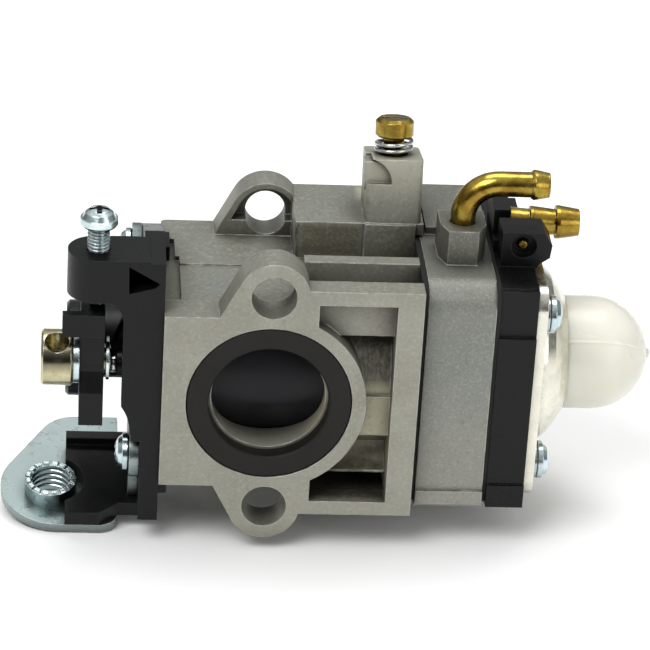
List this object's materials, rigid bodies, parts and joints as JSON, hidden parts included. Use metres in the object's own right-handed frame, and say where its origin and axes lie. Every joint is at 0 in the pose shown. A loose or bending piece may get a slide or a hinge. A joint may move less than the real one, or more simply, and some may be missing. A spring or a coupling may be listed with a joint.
{
  "type": "rotary-valve diaphragm carburetor",
  "caption": "Small-engine diaphragm carburetor with a rotary throttle barrel, cable lever and bracket, idle and mixture screws, brass hose fittings and a press-to-prime bulb.",
  "frame": {"origin": "centre of the air port on the mounting flange's front face", "axes": "+X towards the primer bulb, -Y out of the mounting flange, +Z towards the mixture screw"},
  "size_m": [0.0883, 0.0334, 0.0537],
  "materials": {
    "die_cast_body": "as-cast grey, machined flats",
    "pump_casting": "fine as-cast grey",
    "seal_rubber": "matte black",
    "seal_rubber_tip": "turned, soft tip",
    "black_anodised": "satin black",
    "black_plastic": "moulded satin black",
    "yellow_zinc": "pale yellow zinc plate",
    "bright_zinc": "bright zinc plate",
    "blue_zinc": "blue zinc plate",
    "brass": "turned brass",
    "translucent_bulb": "milky translucent elastomer",
    "spring_steel": "bright steel",
    "plug_aluminium": "pressed aluminium",
    "gasket_paper": "fibre gasket",
    "diaphragm_film": "coated fabric film"
  },
  "bodies": {
    "carburetor": {"barrel_spring": "spring_steel", "bulb_retainer": "yellow_zinc", "cable_bracket": "blue_zinc", "cable_ferrule": "bright_zinc", "carburetor_body": "die_cast_body", "combination_valve": "seal_rubber", "cover_screws": "bright_zinc", "inlet_elbow": "brass", "inlet_screen": "spring_steel", "lift_ball": "spring_steel", "main_jet": "brass", "main_nozzle": "brass", "metering_diaphragm": "diaphragm_film", "metering_gasket": "gasket_paper", "metering_lever_pin": "spring_steel", "metering_lever_spring": "spring_steel", "mixture_spring": "spring_steel", "passage_plug": "brass", "pin_screw": "bright_zinc", "port_seal_ring": "seal_rubber", "primer_base": "black_plastic", "pump_body": "pump_casting", "pump_diaphragm": "diaphragm_film", "pump_gasket": "gasket_paper", "retainer_screws": "bright_zinc", "retainer_washers": "bright_zinc", "return_nipple": "brass", "shaft_seal": "seal_rubber", "throttle_cover": "black_plastic", "welch_plug": "plug_aluminium"},
    "needle_carriage": {"metering_needle": "brass"},
    "throttle": {"throttle_barrel": "black_anodised", "throttle_lever": "black_plastic", "needle_adjuster": "brass", "swivel_clip": "bright_zinc"},
    "swivel": {"cable_swivel": "yellow_zinc"},
    "idle_screw": {"idle_speed_screw": "bright_zinc"},
    "mixture_carriage": {"mixture_o_ring": "seal_rubber"},
    "mixture_needle": {"mixture_screw": "brass"},
    "bulb": {"primer_bulb": "translucent_bulb"},
    "button": {"diaphragm_button": "plug_aluminium"},
    "rocker": {"metering_lever": "bright_zinc"},
    "inlet_valve": {"inlet_needle": "seal_rubber_tip"}
  },
  "joints": [
    {"name": "throttle_lift", "type": "slide", "parent": "carburetor", "child": "needle_carriage", "axis": [-1, 0, 0], "range_m": [0, 0.0026], "stiffness_N_per_m": 900, "springref_m": -0.002, "deforming": ["barrel_spring"]},
    {"name": "throttle_turn", "type": "hinge", "parent": "needle_carriage", "child": "throttle", "pos_m": [0, 0.0155, 0], "axis": [1, 0, 0], "range_deg": [0, 70]},
    {"name": "swivel_turn", "type": "hinge", "parent": "throttle", "child": "swivel", "pos_m": [-0.0236, 0.005, 0.0038], "axis": [1, 0, 0], "range_deg": [-80, 20]},
    {"name": "idle_screw_travel", "type": "slide", "parent": "carburetor", "child": "idle_screw", "axis": [0, 0, 1], "range_m": [0, 0.003]},
    {"name": "mixture_travel", "type": "slide", "parent": "carburetor", "child": "mixture_carriage", "axis": [0, 0.1736, 0.9848], "range_m": [-0.0005, 0.00075], "deforming": ["mixture_spring"]},
    {"name": "mixture_turn", "type": "hinge", "parent": "mixture_carriage", "child": "mixture_needle", "pos_m": [0.0167, 0.0235, 0.0264], "axis": [0, 0.1736, 0.9848], "range_deg": [-360, 540]},
    {"name": "primer_press", "type": "slide", "parent": "carburetor", "child": "bulb", "axis": [-1, 0, 0], "range_m": [0, 0.006], "stiffness_N_per_m": 300, "deforming": ["primer_bulb"]},
    {"name": "diaphragm_press", "type": "slide", "parent": "carburetor", "child": "button", "axis": [-1, 0, 0], "range_m": [0, 0.0009], "stiffness_N_per_m": 60, "deforming": ["metering_diaphragm"]},
    {"name": "rocker_turn", "type": "hinge", "parent": "carburetor", "child": "rocker", "pos_m": [0.0266, 0.0132, 0], "axis": [0, 0, 1], "range_deg": [0, 14], "deforming": ["metering_lever_spring"]},
    {"name": "inlet_valve_lift", "type": "slide", "parent": "carburetor", "child": "inlet_valve", "axis": [1, 0, 0], "range_m": [0, 0.0007]}
  ],
  "couplings": [
    {"joint": "throttle_turn", "follows": "throttle_lift", "rad_per_m": 469.89},
    {"joint": "mixture_turn", "follows": "mixture_travel", "rad_per_m": 12566},
    {"joint": "rocker_turn", "follows": "diaphragm_press", "rad_per_m": 270},
    {"joint": "inlet_valve_lift", "follows": "diaphragm_press", "ratio": 0.756}
  ]
}
